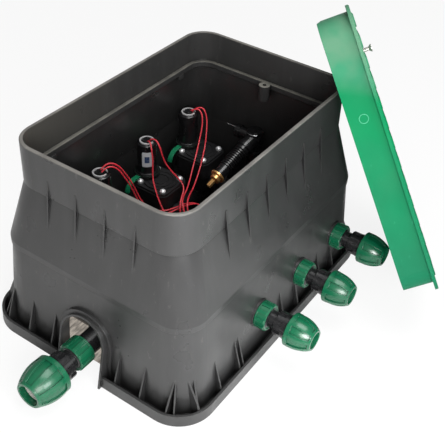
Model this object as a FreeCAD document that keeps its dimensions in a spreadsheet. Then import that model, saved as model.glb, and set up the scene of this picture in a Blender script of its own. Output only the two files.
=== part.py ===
"""Irrigation valve box: open box, leaning lid, three solenoid valves, pipes and fittings.

Lengths are millimetres. X runs along the box, the three outlets leave through the -Y side,
the inlet through the -X side, +Z is up and the origin is the centre of the box's footprint.
"""
import FreeCAD
import Part

import math
import os

import Sketcher
from FreeCAD import Placement, Rotation, Vector

DOC = FreeCAD.newDocument("valve_box_assembly")

SIZES = {
    # box shell, given as half lengths along X and Y and corner radii
    "box_height": 320, "rim_half_x": 213.5, "rim_half_y": 141.5, "rim_corner": 39,
    "collar_z": 257, "collar_half_x": 214, "collar_half_y": 143.5, "collar_corner": 42,
    "collar_step": 1.2, "rim_wall": 5.2, "box_wall": 4,
    "band_z": 149, "band_height": 9, "band_half_x": 231, "band_half_y": 167, "band_corner": 43,
    "band_step": 1.2, "base_half_x": 241.5, "base_half_y": 177.5, "base_corner": 50,
    "flange_half_x": 256.9, "flange_half_y": 190.6, "flange_corner": 57,
    "flange_floor": 4, "flange_lip": 4.5, "flange_height": 19,
    "gusset_top": 68, "gusset_wide": 2.2, "gusset_pitch": 47, "gusset_pitch_y": 44,
    "fin_top": 283, "fin_low": 200, "fin_wide": 2.6, "fin_pitch": 48.4,
    "ledge_z": 262, "ledge_height": 8, "ledge_reach": 6.5,
    "boss_radius": 9, "boss_bore": 3.1, "boss_drop": 26, "nub_x": 147,
    # arched pipe opening in the short side
    "arch_half": 40, "arch_wall": 3, "arch_spring": 62, "arch_front": 262.2, "arch_slope": 0.2,
    "arch_band": 6, "arch_band_rise": 4,
    # lid
    "lid_half_x": 214, "lid_half_y": 141, "lid_corner": 34, "lid_plate": 5, "lid_overhang": 10,
    "lid_skirt": 44, "lid_wall": 3.5, "stud_radius": 10.5, "stud_height": 2, "stud_pitch": 29.4,
    "bolt_place": 142, "bolt_radius": 3, "bolt_head": 6, "bolt_out": 14, "bolt_reach": 30,
    "bolt_boss": 8, "bolt_boss_drop": 18, "lid_lean": 0.45, "mark_place": 61,
    # valves
    "valve_pitch": 112, "valve_middle": 52.5, "valve_y": 98, "outlet_z": 71, "outlet_start": 52,
    "outlet_neck": 16.5, "outlet_bore": 10, "inlet_neck": 17, "inlet_bore": 12, "bowl_radius": 31,
    "bowl_low": 54, "block_low": 84, "joint_z": 102, "bonnet_top": 120, "block_half": 33,
    "block_corner": 13, "chamber_radius": 25, "chamber_floor": 64, "seat_z": 86, "seat_wall": 3,
    "dial_radius": 27, "dial_height": 2.5, "control_top": 113, "screw_x": 22.5, "screw_y": 23,
    "screw_radius": 2.4, "screw_head": 5, "screw_reach": 96,
    "diaphragm_thick": 4, "diaphragm_gap": 0.3, "seat_gap": 0.2,
    "spring_radius": 8, "spring_wire": 0.8, "spring_turns": 5,
    # solenoids
    "coil_y": 125, "coil_radius": 16, "coil_top": 186, "coil_collar": 18, "coil_collar_top": 132,
    "coil_ring_outer": 12, "coil_ring_inner": 9.6, "coil_ring_height": 2.2,
    "lead_cap": 6.5, "lead_cap_top": 190, "plunger_radius": 4.5, "plunger_clearance": 0.06,
    "plunger_low": 123, "plunger_top": 146, "plunger_hole_top": 162, "plunger_spring_radius": 3,
    "plunger_spring_wire": 0.5, "pilot_radius": 1.2,
    # bleed levers
    "lever_inner": 18.4, "lever_outer": 21.5, "lever_low": 127, "lever_thick": 3.2,
    "lever_reach": 53, "lever_wide": 8, "lever_drop": 14,
    # pipes
    "collector_drop": 18, "collector_radius": 16, "collector_bore": 12.5, "collector_start": 184,
    "tee_radius": 19, "tee_nut": 8, "tee_sleeve": 18, "pipe_radius": 12.5, "pipe_bore": 10.4,
    "pipe_end": 163, "inlet_y": 6.8, "elbow_radius": 20,
    # flush branch
    "riser_offset": 43.5, "riser_y": 17, "riser_radius": 13, "riser_bore": 9.5, "riser_top": 135,
    "flush_elbow_z": 158, "flush_elbow_radius": 14.5, "flush_fall": 21.8, "flush_turn": 7.5,
    "flush_arm": 30, "flush_cap": 12.5, "flush_side": 36, "nipple_radius": 13, "nipple_length": 66,
    "rib_pitch": 4.4, "rib_depth": 1.5,
    "plug_flange": 13.2, "plug_flange_thick": 3.5, "plug_hex": 9, "plug_hex_length": 7,
    "plug_key": 3, "plug_key_length": 15, "clip_wire": 1.1,
    # fittings, measured out from the face of their ring nut's seat
    "pad_radius": 22, "pad_inner": 166, "pad_outer": 173.6, "gasket": 2, "shoulder": 6,
    "thread_clearance": 0.05,
    "inlet_seat_x": 240,
    # leads
    "lead_radius": 1.3,
}
# Sizes that the inlet fitting and the outlet fittings have in common: inlet, outlet.
FITTING_SIZES = {
    "ring_radius": (22.5, 21), "ring_length": (26.5, 18), "ring_groove": (1.6, 1.6),
    "neck_radius": (17, 15.5), "stem_radius": (15.5, 13), "stem_length": (9, 11),
    "collar_radius": (22.5, 18.5), "collar_length": (16, 16),
    "cone_radius": (23.5, 19), "socket_radius": (16.2, 12.65), "body_bore": (13, 10),
    "socket_depth": (26, 22), "body_end": (75, 71),
    "nut_start": (57, 51), "nut_rim": (7, 6), "nut_radius": (30.5, 25.5), "nut_end": (108, 90),
    "nut_mouth": (20, 15.8), "nut_groove": (2.2, 1.8),
    "mouth_bore": (16.5, 12.9), "grip_end": (98, 82), "back_length": (30, 8),
}
for word, (inlet_value, outlet_value) in FITTING_SIZES.items():
    SIZES["inlet_" + word] = inlet_value
    SIZES["outlet_" + word] = outlet_value

VALVES = (-1, 0, 1)


class Size:
    """A number together with the sheet formula that gives it."""

    def __init__(self, value, formula=None):
        self.value = float(value)
        self.formula = formula or repr(float(value))

    def __add__(self, other):
        other = size(other)
        return Size(self.value + other.value, f"({self.formula} + {other.formula})")

    def __sub__(self, other):
        other = size(other)
        return Size(self.value - other.value, f"({self.formula} - {other.formula})")

    def __mul__(self, other):
        other = size(other)
        return Size(self.value * other.value, f"({self.formula} * {other.formula})")

    def __truediv__(self, other):
        other = size(other)
        return Size(self.value / other.value, f"({self.formula} / {other.formula})")

    def __radd__(self, other):
        return size(other) + self

    def __rsub__(self, other):
        return size(other) - self

    def __rmul__(self, other):
        return size(other) * self

    def __neg__(self):
        return Size(-self.value, f"(0 - {self.formula})")


def size(number):
    """Return a plain number as a Size."""
    return number if isinstance(number, Size) else Size(number)


class Sheet:
    """The driving dimensions, one named cell each."""

    def __init__(self, values):
        sheet = DOC.addObject("Spreadsheet::Sheet", "Sizes")
        for row, (word, value) in enumerate(values.items(), start=1):
            sheet.set(f"A{row}", word)
            sheet.set(f"B{row}", str(value))
            sheet.setAlias(f"B{row}", word)
            setattr(self, word, Size(value, f"Sizes.{word}"))
        DOC.recompute()


S = Sheet(SIZES)
# The collector hangs under the valves and ends under the riser; the inlet pipe runs level with it.
S.collector_z = S.inlet_z = S.bowl_low - S.collector_drop
S.collector_end = S.valve_middle + S.valve_pitch + S.riser_offset


class Fitting:
    """The sizes of one kind of compression fitting."""

    def __init__(self, kind):
        for word in FITTING_SIZES:
            setattr(self, word, getattr(S, f"{kind}_{word}"))


# ---------------------------------------------------------------- helpers

def bind(thing, **formulas):
    """Tie properties of an object to sizes."""
    for name, amount in formulas.items():
        thing.setExpression(name, size(amount).formula)


def place(thing, x=0, y=0, z=0, rotation=None):
    """Put an object at a point that follows the sheet."""
    spots = [size(x), size(y), size(z)]
    thing.Placement = Placement(Vector(*[s.value for s in spots]), rotation or Rotation())
    for letter, spot in zip("xyz", spots):
        thing.setExpression(f"Placement.Base.{letter}", spot.formula)
    return thing


TURNS = {
    "+Z": Rotation(), "-Z": Rotation(Vector(1, 0, 0), 180),
    "+X": Rotation(Vector(0, 1, 0), 90), "-X": Rotation(Vector(0, 1, 0), -90),
    "+Y": Rotation(Vector(1, 0, 0), -90), "-Y": Rotation(Vector(1, 0, 0), 90),
}


def cylinder(name, radius, length, x, y, z, way="+Z"):
    """A cylinder that starts at a point and runs one way."""
    piece = DOC.addObject("Part::Cylinder", name)
    bind(piece, Radius=radius, Height=length)
    return place(piece, x, y, z, TURNS[way])


def cone(name, radius_low, radius_high, length, x, y, z):
    """An upright cone."""
    piece = DOC.addObject("Part::Cone", name)
    bind(piece, Radius1=radius_low, Radius2=radius_high, Height=length)
    return place(piece, x, y, z)


def ball(name, radius, x, y, z):
    """A ball about a point."""
    piece = DOC.addObject("Part::Sphere", name)
    bind(piece, Radius=radius)
    return place(piece, x, y, z)


def block(name, length, width, height, x, y, z):
    """A box whose lowest corner is at a point."""
    piece = DOC.addObject("Part::Box", name)
    bind(piece, Length=length, Width=width, Height=height)
    return place(piece, x, y, z)


def fuse(name, *pieces):
    """All pieces as one solid."""
    whole = DOC.addObject("Part::MultiFuse", name)
    whole.Shapes = list(pieces)
    return whole


def cut(name, base, *tools):
    """A base with tools taken away."""
    whole = DOC.addObject("Part::Cut", name)
    whole.Base = base
    whole.Tool = tools[0] if len(tools) == 1 else fuse(name + "_tools", *tools)
    return whole


def common(name, first, second):
    """What two pieces share."""
    whole = DOC.addObject("Part::MultiCommon", name)
    whole.Shapes = [first, second]
    return whole


def group(name, pieces):
    """Separate solids kept together in one sub-part."""
    whole = DOC.addObject("Part::Compound", name)
    whole.Links = list(pieces)
    return whole


def hold(sketch, kind, edge, point, amount):
    """Fix one coordinate of a sketch point at a size from the sketch's origin."""
    if isinstance(amount, (int, float)) and amount == 0:
        axis = -2 if kind == "DistanceX" else -1
        sketch.addConstraint(Sketcher.Constraint("PointOnObject", edge, point, axis))
        return
    amount = size(amount)
    index = sketch.addConstraint(
        Sketcher.Constraint(kind, -1, 1, edge, point, amount.value))
    sketch.setExpression(f"Constraints[{index}]", amount.formula)


def rounded(name, half_x, half_y, corner, z):
    """A rounded rectangle about the Z axis at a height."""
    sketch = DOC.addObject("Sketcher::SketchObject", name)
    place(sketch, 0, 0, z)
    a, b, r = half_x.value, half_y.value, corner.value
    spots = [(r - a, -b), (a - r, -b), (a, r - b), (a, b - r),
             (a - r, b), (r - a, b), (-a, b - r), (-a, r - b)]
    spots = [Vector(u, v, 0) for u, v in spots]
    centres = [(a - r, r - b), (a - r, b - r), (r - a, b - r), (r - a, r - b)]
    for side in range(4):
        sketch.addGeometry(Part.LineSegment(spots[2 * side], spots[2 * side + 1]))
    for turn, (u, v) in enumerate(centres):
        circle = Part.Circle(Vector(u, v, 0), Vector(0, 0, 1), r)
        start = math.pi * (turn - 1) / 2
        sketch.addGeometry(Part.ArcOfCircle(circle, start, start + math.pi / 2))
    for side in range(4):
        arc = 4 + side
        sketch.addConstraint(Sketcher.Constraint("Tangent", side, 2, arc, 1))
        sketch.addConstraint(Sketcher.Constraint("Tangent", arc, 2, (side + 1) % 4, 1))
    sketch.addConstraint(Sketcher.Constraint("Horizontal", 0))
    sketch.addConstraint(Sketcher.Constraint("Vertical", 1))
    for arc in (5, 6, 7):
        sketch.addConstraint(Sketcher.Constraint("Equal", 4, arc))
    radius = sketch.addConstraint(Sketcher.Constraint("Radius", 4, r))
    sketch.setExpression(f"Constraints[{radius}]", corner.formula)
    hold(sketch, "DistanceY", 0, 1, -half_y)
    hold(sketch, "DistanceX", 1, 1, half_x)
    hold(sketch, "DistanceY", 2, 1, half_y)
    hold(sketch, "DistanceX", 3, 1, -half_x)
    return sketch


def skin(name, *sections):
    """A solid through rounded rectangles: (half_x, half_y, corner, z) each, from the lowest up."""
    loft = DOC.addObject("Part::Loft", name)
    loft.Sections = [rounded(f"{name}_{n}", *map(size, section))
                     for n, section in enumerate(sections)]
    loft.Solid = True
    loft.Ruled = True
    return loft


def slab(name, half_x, half_y, corner, low, high, x=0, y=0):
    """An upright block with rounded corners about a point."""
    sketch = rounded(name + "_outline", size(half_x), size(half_y), size(corner), low)
    place(sketch, x, y, low)
    piece = DOC.addObject("Part::Extrusion", name)
    piece.Base = sketch
    piece.DirMode = "Custom"
    piece.Dir = Vector(0, 0, 1)
    piece.Solid = True
    bind(piece, LengthFwd=size(high) - low)
    return piece


def origin_feature(body, role):
    """One of a body's own planes or axes."""
    return next(feature for feature in body.Origin.OriginFeatures if feature.Role == role)


def outline(body, name, corners, plane="XZ_Plane"):
    """A closed sketch through (x, y) corners; a third number bends the edge that follows.

    The third number is the radius of that edge's arc, positive where the arc bulges to the
    right of the way it runs.
    """
    sketch = body.newObject("Sketcher::SketchObject", name)
    sketch.AttachmentSupport = [(origin_feature(body, plane), "")]
    sketch.MapMode = "FlatFace"
    spots = [Vector(size(c[0]).value, size(c[1]).value, 0) for c in corners]
    ends = []
    for edge, corner in enumerate(corners):
        start, end = spots[edge], spots[(edge + 1) % len(spots)]
        if len(corner) == 2:
            sketch.addGeometry(Part.LineSegment(start, end))
            ends.append((1, 2))
            continue
        bend = size(corner[2]).value
        chord = end - start
        right = Vector(chord.y, -chord.x, 0).normalize()
        depth = abs(bend) - math.sqrt(bend * bend - chord.Length ** 2 / 4)
        middle = (start + end) * 0.5 + right * math.copysign(depth, bend)
        sketch.addGeometry(Part.Arc(start, middle, end))
        first = sketch.getPoint(edge, 1)
        ends.append((1, 2) if (first - start).Length < 1e-6 else (2, 1))
    for edge, corner in enumerate(corners):
        after = (edge + 1) % len(corners)
        sketch.addConstraint(
            Sketcher.Constraint("Coincident", edge, ends[edge][1], after, ends[after][0]))
        hold(sketch, "DistanceX", edge, ends[edge][0], corner[0])
        hold(sketch, "DistanceY", edge, ends[edge][0], corner[1])
        if len(corner) == 3:
            bend = size(corner[2])
            bend = bend if bend.value > 0 else -bend
            index = sketch.addConstraint(Sketcher.Constraint("Radius", edge, bend.value))
            sketch.setExpression(f"Constraints[{index}]", bend.formula)
    return sketch


def turned(name, profile):
    """A body turned about its own Z axis from (radius, height) corners."""
    body = DOC.addObject("PartDesign::Body", name)
    turn = body.newObject("PartDesign::Revolution", name + "_turning")
    turn.Profile = outline(body, name + "_profile", profile)
    turn.ReferenceAxis = (origin_feature(body, "Z_Axis"), [""])
    turn.Angle = 360
    return body


def flutes(body, name, profile, angle, count):
    """Equal grooves about a body's Z axis, each an arc of a turned profile."""
    groove = body.newObject("PartDesign::Groove", name)
    groove.Profile = outline(body, name + "_profile", profile)
    groove.ReferenceAxis = (origin_feature(body, "Z_Axis"), [""])
    groove.Midplane = True
    groove.Angle = angle
    ring = body.newObject("PartDesign::PolarPattern", name + "_ring")
    ring.Originals = [groove]
    ring.Axis = (origin_feature(body, "Z_Axis"), [""])
    ring.Angle = 360
    ring.Occurrences = count
    body.Tip = ring


def coil_spring(name, radius, wire, low, high, turns, x, y):
    """An upright helical spring between two heights."""
    radius, wire, low, high = map(size, (radius, wire, low, high))
    rise = high - low - 2 * wire
    body = DOC.addObject("PartDesign::Body", name)
    sketch = body.newObject("Sketcher::SketchObject", name + "_section")
    sketch.AttachmentSupport = [(origin_feature(body, "XZ_Plane"), "")]
    sketch.MapMode = "FlatFace"
    sketch.addGeometry(Part.Circle(Vector(radius.value, 0, 0), Vector(0, 0, 1), wire.value))
    hold(sketch, "DistanceX", 0, 3, radius)
    hold(sketch, "DistanceY", 0, 3, 0)
    index = sketch.addConstraint(Sketcher.Constraint("Radius", 0, wire.value))
    sketch.setExpression(f"Constraints[{index}]", wire.formula)
    helix = body.newObject("PartDesign::AdditiveHelix", name + "_helix")
    helix.Profile = sketch
    helix.ReferenceAxis = (origin_feature(body, "Z_Axis"), [""])
    helix.Mode = 2
    bind(helix, Height=rise, Turns=turns)
    place(body, x, y, low + wire)
    return body


def arch(name, half, low, spring, start, end):
    """An arch-topped solid along X between two places, with its feet at a height."""
    legs = block(name + "_legs", end - start, 2 * half, spring - low, start, -half, low)
    crown = cylinder(name + "_crown", half, end - start, start, 0, spring, "+X")
    return fuse(name, legs, crown)


# ---------------------------------------------------------------- box

def box_outside():
    """The outer form of the wall, from the base to the chamfered rim."""
    lower = skin("wall_low", (S.base_half_x, S.base_half_y, S.base_corner, 0),
                 (S.band_half_x - S.band_step, S.band_half_y - S.band_step, S.band_corner, S.band_z))
    upper = skin("wall_high", (S.band_half_x, S.band_half_y, S.band_corner, S.band_z),
                 (S.band_half_x, S.band_half_y, S.band_corner, S.band_z + S.band_height),
                 (S.collar_half_x - S.collar_step, S.collar_half_y - S.collar_step,
                  S.collar_corner, S.collar_z))
    chamfer = 1.2
    collar = skin("collar", (S.collar_half_x, S.collar_half_y, S.collar_corner, S.collar_z),
                  (S.rim_half_x, S.rim_half_y, S.rim_corner, S.box_height - chamfer),
                  (S.rim_half_x - chamfer, S.rim_half_y - chamfer, S.rim_corner - chamfer,
                   S.box_height))
    return [lower, upper, collar]


def box_inside():
    """The hollow of the box, narrower at the ledge that the lid's skirt meets."""
    below = 1
    wall, ledge = S.box_wall, S.ledge_reach
    rim_x, rim_y = S.rim_half_x - S.rim_wall, S.rim_half_y - S.rim_wall
    ledge_x, ledge_y = rim_x - ledge, rim_y - ledge
    ledge_corner = S.rim_corner - S.rim_wall - ledge
    low = skin("hollow_low",
               (S.base_half_x - wall, S.base_half_y - wall, S.base_corner - wall, -below),
               (S.band_half_x - wall, S.band_half_y - wall, S.band_corner - wall, S.band_z),
               (S.collar_half_x - wall - S.collar_step, S.collar_half_y - wall - S.collar_step,
                S.collar_corner - wall, S.collar_z),
               (ledge_x, ledge_y, ledge_corner, S.ledge_z),
               (ledge_x, ledge_y, ledge_corner, S.ledge_z + S.ledge_height + below))
    high = skin("hollow_high",
                (rim_x, rim_y, S.rim_corner - S.rim_wall, S.ledge_z + S.ledge_height),
                (rim_x, rim_y, S.rim_corner - S.rim_wall, S.box_height + below))
    return [low, high]


def flange_trough():
    """The base flange: an upright lip round a shallow trough."""
    lip, floor = S.flange_lip, S.flange_floor
    plate = skin("flange_plate", (S.flange_half_x, S.flange_half_y, S.flange_corner, 0),
                 (S.flange_half_x - 0.8, S.flange_half_y - 0.8, S.flange_corner - 0.8,
                  S.flange_height))
    trough = skin("trough",
                  (S.flange_half_x - lip - 1, S.flange_half_y - lip - 1, S.flange_corner - lip - 1,
                   floor),
                  (S.flange_half_x - lip, S.flange_half_y - lip, S.flange_corner - lip,
                   S.flange_height + 1))
    return cut("flange", plate, trough)


def spread(name, thick, low, high, places, along):
    """Thin upright plates right across the box, at places along X or Y."""
    plates = []
    for n, spot in enumerate(places):
        reach, height = 2 * S.flange_half_x, high - low
        if along == "X":
            plate = block(f"{name}_{n}", thick, reach, height, spot - thick / 2, reach / -2, low)
        else:
            plate = block(f"{name}_{n}", reach, thick, height, reach / -2, spot - thick / 2, low)
        plates.append(plate)
    return plates


def diagonal(name, thick, low, high, x, y, angle):
    """A thin upright plate from a point outwards at an angle."""
    plate = block(name, S.flange_half_x / 2, thick, high - low, x, y, low)
    plate.Placement.Rotation = Rotation(Vector(0, 0, 1), angle)
    return plate


def gussets():
    """Triangular webs between the flange's lip and the wall."""
    reach = S.flange_lip + 0.6
    low = S.flange_floor - 1
    slope = (S.base_half_x - S.band_half_x) * S.gusset_top / S.band_z
    envelope = skin("gusset_envelope",
                    (S.flange_half_x - reach, S.flange_half_y - reach, S.flange_corner - reach, low),
                    (S.flange_half_x - reach, S.flange_half_y - reach, S.flange_corner - reach,
                     S.flange_height),
                    (S.base_half_x - slope - 0.5, S.base_half_y - slope - 0.5, S.base_corner,
                     S.gusset_top))
    first = S.valve_middle - S.valve_pitch * 2
    long_side = [first + S.gusset_pitch * n for n in (-1, 0, 1)] + [216]
    between = [S.valve_middle + S.valve_pitch * n - spot for n in VALVES for spot in (14, 56)]
    short_side = [S.gusset_pitch_y * n + 16 * side
                  for side in (-1, 1) for n in (side, 2 * side, 3 * side)]
    plates = spread("web_x", S.gusset_wide, low, S.gusset_top, long_side + between[1:], "X")
    plates += spread("web_y", S.gusset_wide, low, S.gusset_top, short_side, "Y")
    for n, (side_x, side_y) in enumerate(((1, 1), (-1, 1), (-1, -1), (1, -1))):
        x = (S.base_half_x - S.base_corner) * side_x
        y = (S.base_half_y - S.base_corner) * side_y
        for m, lean in enumerate((-16, 16)):
            plates.append(diagonal(f"web_corner_{n}_{m}", S.gusset_wide, low, S.gusset_top,
                                   x, y, 45 + 90 * n + lean))
    return common("gussets", fuse("web_plates", *plates), envelope)


def fins():
    """Thin fins that straddle the collar's lower edge."""
    fall = (S.collar_z - S.fin_low) / (S.collar_z - S.band_z - S.band_height)
    low_x = S.collar_half_x - S.collar_step + (S.band_half_x - S.collar_half_x) * fall
    low_y = S.collar_half_y - S.collar_step + (S.band_half_y - S.collar_half_y) * fall
    envelope = skin("fin_envelope", (low_x, low_y, S.collar_corner, S.fin_low),
                    (S.collar_half_x, S.collar_half_y, S.collar_corner, S.fin_top))
    along_x = [S.fin_pitch * n for n in (-2.5, -1.5, -0.5, 0.5, 1.5, 2.5)]
    along_y = [S.fin_pitch * n for n in (-1.5, -0.5, 0.5, 1.5)]
    plates = spread("fin_x", S.fin_wide, S.fin_low, S.fin_top, along_x, "X")
    plates += spread("fin_y", S.fin_wide, S.fin_low, S.fin_top, along_y, "Y")
    return common("fins", fuse("fin_plates", *plates), envelope)


def arch_hood():
    """The hood of the pipe opening and the raised band where it leaves the wall."""
    start = -S.arch_front - 2
    hood = arch("hood", S.arch_half, 0, S.arch_spring, start, -S.band_half_x)
    lean = math.degrees(math.atan(S.arch_slope.value))
    front = block("hood_front", 60, 4 * S.arch_half, S.box_height, -60, -2 * S.arch_half, -20)
    front = on_slope("hood_front_sloped", front, -S.arch_front, lean)
    return cut("hood_sloped", hood, front)


def on_slope(name, piece, x, lean):
    """A piece tilted about Y and carried to a place along X."""
    tilted = DOC.addObject("Part::Compound", name)
    tilted.Links = [piece]
    return place(tilted, x, 0, 0, Rotation(Vector(0, 1, 0), lean))


def arch_band():
    """A raised band on the wall round the hood."""
    rise = S.arch_band_rise
    band = arch("band_arch", S.arch_half + S.arch_band, S.flange_floor, S.arch_spring,
                -S.flange_half_x, -S.band_half_x)
    envelope = skin("band_envelope",
                    (S.base_half_x + rise, S.base_half_y + rise, S.base_corner + rise, 0),
                    (S.band_half_x + rise, S.band_half_y + rise, S.band_corner + rise, S.band_z))
    return common("hood_band", band, envelope)


def screw_boss():
    """The boss under the ledge that takes the lid's bolt, and its bore."""
    x = S.rim_half_x - S.rim_wall - S.ledge_reach - S.boss_radius + 3
    top = S.ledge_z + S.ledge_height
    boss = cylinder("boss", S.boss_radius, S.boss_drop, x, 0, top - S.boss_drop)
    web = block("boss_web", 2 * S.boss_radius, S.box_wall, S.boss_drop, x, S.box_wall / -2,
                top - S.boss_drop)
    bore = cylinder("boss_bore", S.boss_bore, S.boss_drop, x, 0, top - S.boss_drop + 4)
    return [boss, web], bore


def pipe_pads():
    """Flat pads and holes where the outlets pass through the long side."""
    pads, holes = [], []
    for n in VALVES:
        x = S.valve_middle + S.valve_pitch * n
        pads.append(cylinder(f"pad_{n + 2}", S.pad_radius, S.pad_outer - S.pad_inner,
                             x, -S.pad_inner, S.outlet_z, "-Y"))
        holes.append(cylinder(f"pad_hole_{n + 2}", S.outlet_neck_radius + 0.3, 60,
                              x, -S.pad_inner + 20, S.outlet_z, "-Y"))
        holes.append(cylinder(f"nut_room_{n + 2}", S.outlet_ring_radius + 1.5, 60,
                              x, -S.pad_outer, S.outlet_z, "-Y"))
    return pads, holes


def valve_box():
    """The moulded box."""
    pads, holes = pipe_pads()
    bosses, bore = screw_boss()
    nubs = [block(f"nub_{n}", 12, 8, 7, S.nub_x * side - 6,
                  S.rim_half_y - S.rim_wall - S.ledge_reach - 2, S.ledge_z - 6)
            for n, side in enumerate((-1, 1))]
    outside = fuse("outside", *box_outside(), flange_trough(), gussets(), fins(), arch_hood(),
                   arch_band())
    shell = cut("shell", outside, *box_inside())
    inner = S.arch_half - S.arch_wall
    tunnel = arch("tunnel", inner, -1, S.arch_spring, -S.flange_half_x - 15, -S.band_half_x + 20)
    fitted = fuse("fitted", shell, *pads, *bosses, *nubs)
    return cut("valve_box", fitted, tunnel, *holes, bore)


# ---------------------------------------------------------------- lid

LID_SPOT = Vector(155.3, -90.7, 230.8)
LID_AWAY = Vector(0.585, -0.811, 0)
LID_LONG = Vector(0.136, 0.553, 0.822)
LID_WIDE = Vector(-0.835, -0.382, 0.396)


def lid_placement():
    """The lid's place as it leans beside the box: its own X points up the slope.

    It leans towards the box, so it stands further out beside a taller one.
    """
    centre = LID_SPOT + LID_AWAY * (S.lid_lean.value * S.box_height.value)
    long_way = LID_LONG.normalize()
    normal = long_way.cross(LID_WIDE).normalize()
    wide_way = normal.cross(long_way)
    frame = FreeCAD.Matrix(long_way.x, wide_way.x, normal.x, centre.x,
                           long_way.y, wide_way.y, normal.y, centre.y,
                           long_way.z, wide_way.z, normal.z, centre.z, 0, 0, 0, 1)
    return Placement(frame)


def lid():
    """The tray-shaped lid, drawn with its top face's centre at the origin."""
    plate = skin("lid_top", (S.lid_half_x, S.lid_half_y, S.lid_corner, -S.lid_plate),
                 (S.lid_half_x, S.lid_half_y, S.lid_corner, -0.8),
                 (S.lid_half_x - 0.8, S.lid_half_y - 0.8, S.lid_corner - 0.8, 0))
    over = S.lid_overhang
    skirt_low = -S.lid_plate - S.lid_skirt
    skirt = slab("lid_skirt", S.lid_half_x - over, S.lid_half_y - over, S.lid_corner - over / 2,
                 skirt_low, -1)
    inset = over + S.lid_wall
    hollow = slab("lid_hollow", S.lid_half_x - inset, S.lid_half_y - inset,
                  S.lid_corner - over / 2 - S.lid_wall, skirt_low - 1, -S.lid_plate)
    columns = int(2 * (S.lid_half_x.value - 16) / S.stud_pitch.value)
    rows = int(2 * (S.lid_half_y.value - 16) / S.stud_pitch.value)
    studs = []
    for i in range(columns + 1):
        for j in range(rows + 1):
            x = S.stud_pitch * (i - columns / 2)
            y = S.stud_pitch * (j - rows / 2)
            by_corner = i in (0, columns) and j in (0, rows)
            by_bolt = math.hypot(x.value - S.bolt_place.value, y.value) < 2 * S.bolt_boss.value
            if not by_corner and not by_bolt:
                studs.append(cone(f"stud_{i}_{j}", S.stud_radius, S.stud_radius - 1.5,
                                  S.stud_height + 1, x, y, -1))
    tray = cut("lid_tray", fuse("lid_solid", plate, skirt), hollow)
    boss = cylinder("lid_boss", S.bolt_boss, S.bolt_boss_drop, S.bolt_place, 0,
                    -S.bolt_boss_drop - S.lid_plate + 1)
    bore = cylinder("lid_bore", S.bolt_radius + 0.05, 60, S.bolt_place, 0, -50)
    mark_side = S.lid_half_y - over - 0.4
    mark = cylinder("mark_outer", 7, 0.9, S.mark_place, mark_side, -S.lid_plate - S.lid_skirt / 2, "+Y")
    mark_hole = cylinder("mark_inner", 5.9, 2, S.mark_place, mark_side - 0.5,
                         -S.lid_plate - S.lid_skirt / 2, "+Y")
    ring = cut("mark", mark, mark_hole)
    whole = cut("lid_body", fuse("lid_studded", tray, boss, ring, *studs), bore)
    return moved("lid", whole)


def moved(name, drawn):
    """A piece drawn in the lid's own frame, set at the lid's leaning place."""
    piece = DOC.addObject("Part::Compound", name)
    piece.Links = [drawn]
    piece.Placement = lid_placement()
    return piece


def lid_bolt():
    """The bolt with its countersunk head out of the lid."""
    head, shank, out = S.bolt_head, S.bolt_radius, S.bolt_out
    body = turned("bolt_turned", [(0, -S.bolt_reach), (shank - 0.6, -S.bolt_reach),
                                  (shank, 0.6 - S.bolt_reach), (shank, out - 4.5),
                                  (head, out - 1), (head, out), (1.8, out), (1.8, out - 1.6),
                                  (0, out - 1.6)])
    place(body, S.bolt_place, 0, 0)
    return moved("lid_bolt", body)


def lid_bolt_clip():
    """The push-on washer that keeps the bolt in the lid."""
    top = -S.lid_plate - S.bolt_boss_drop + 0.7
    body = turned("clip_turned", [(S.bolt_radius, top - 1), (6.5, top - 1), (6.5, top),
                                  (S.bolt_radius, top)])
    place(body, S.bolt_place, 0, 0)
    return moved("lid_bolt_clip", body)


# ---------------------------------------------------------------- fittings

def set_fitting(piece, kind, n=0):
    """Turn a fitting's piece so that its Z axis runs out of the box through its wall."""
    if kind == "inlet":
        return place(piece, -S.inlet_seat_x, S.inlet_y, S.inlet_z, TURNS["-X"])
    x = S.valve_middle + S.valve_pitch * n
    return place(piece, x, -S.pad_outer - 0.2, S.outlet_z, TURNS["-Y"])


def ring_nut(label, f):
    """The green lock nut, fluted all round."""
    bore, outer, length = f.neck_radius + S.thread_clearance, f.ring_radius, f.ring_length
    body = turned(label, [(bore, 0), (outer - 1, 0), (outer, 1), (outer, length - 2),
                          (outer - 2, length), (outer - 3.4, length), (outer - 4, length - 1.2),
                          (bore, length - 1.2)])
    depth = outer - f.ring_groove
    flutes(body, label + "_flute", [(depth, 2.5), (outer + 2, 2.5), (outer + 2, length + 1),
                                    (depth, length + 1)], 22, 10)
    return body


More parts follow.
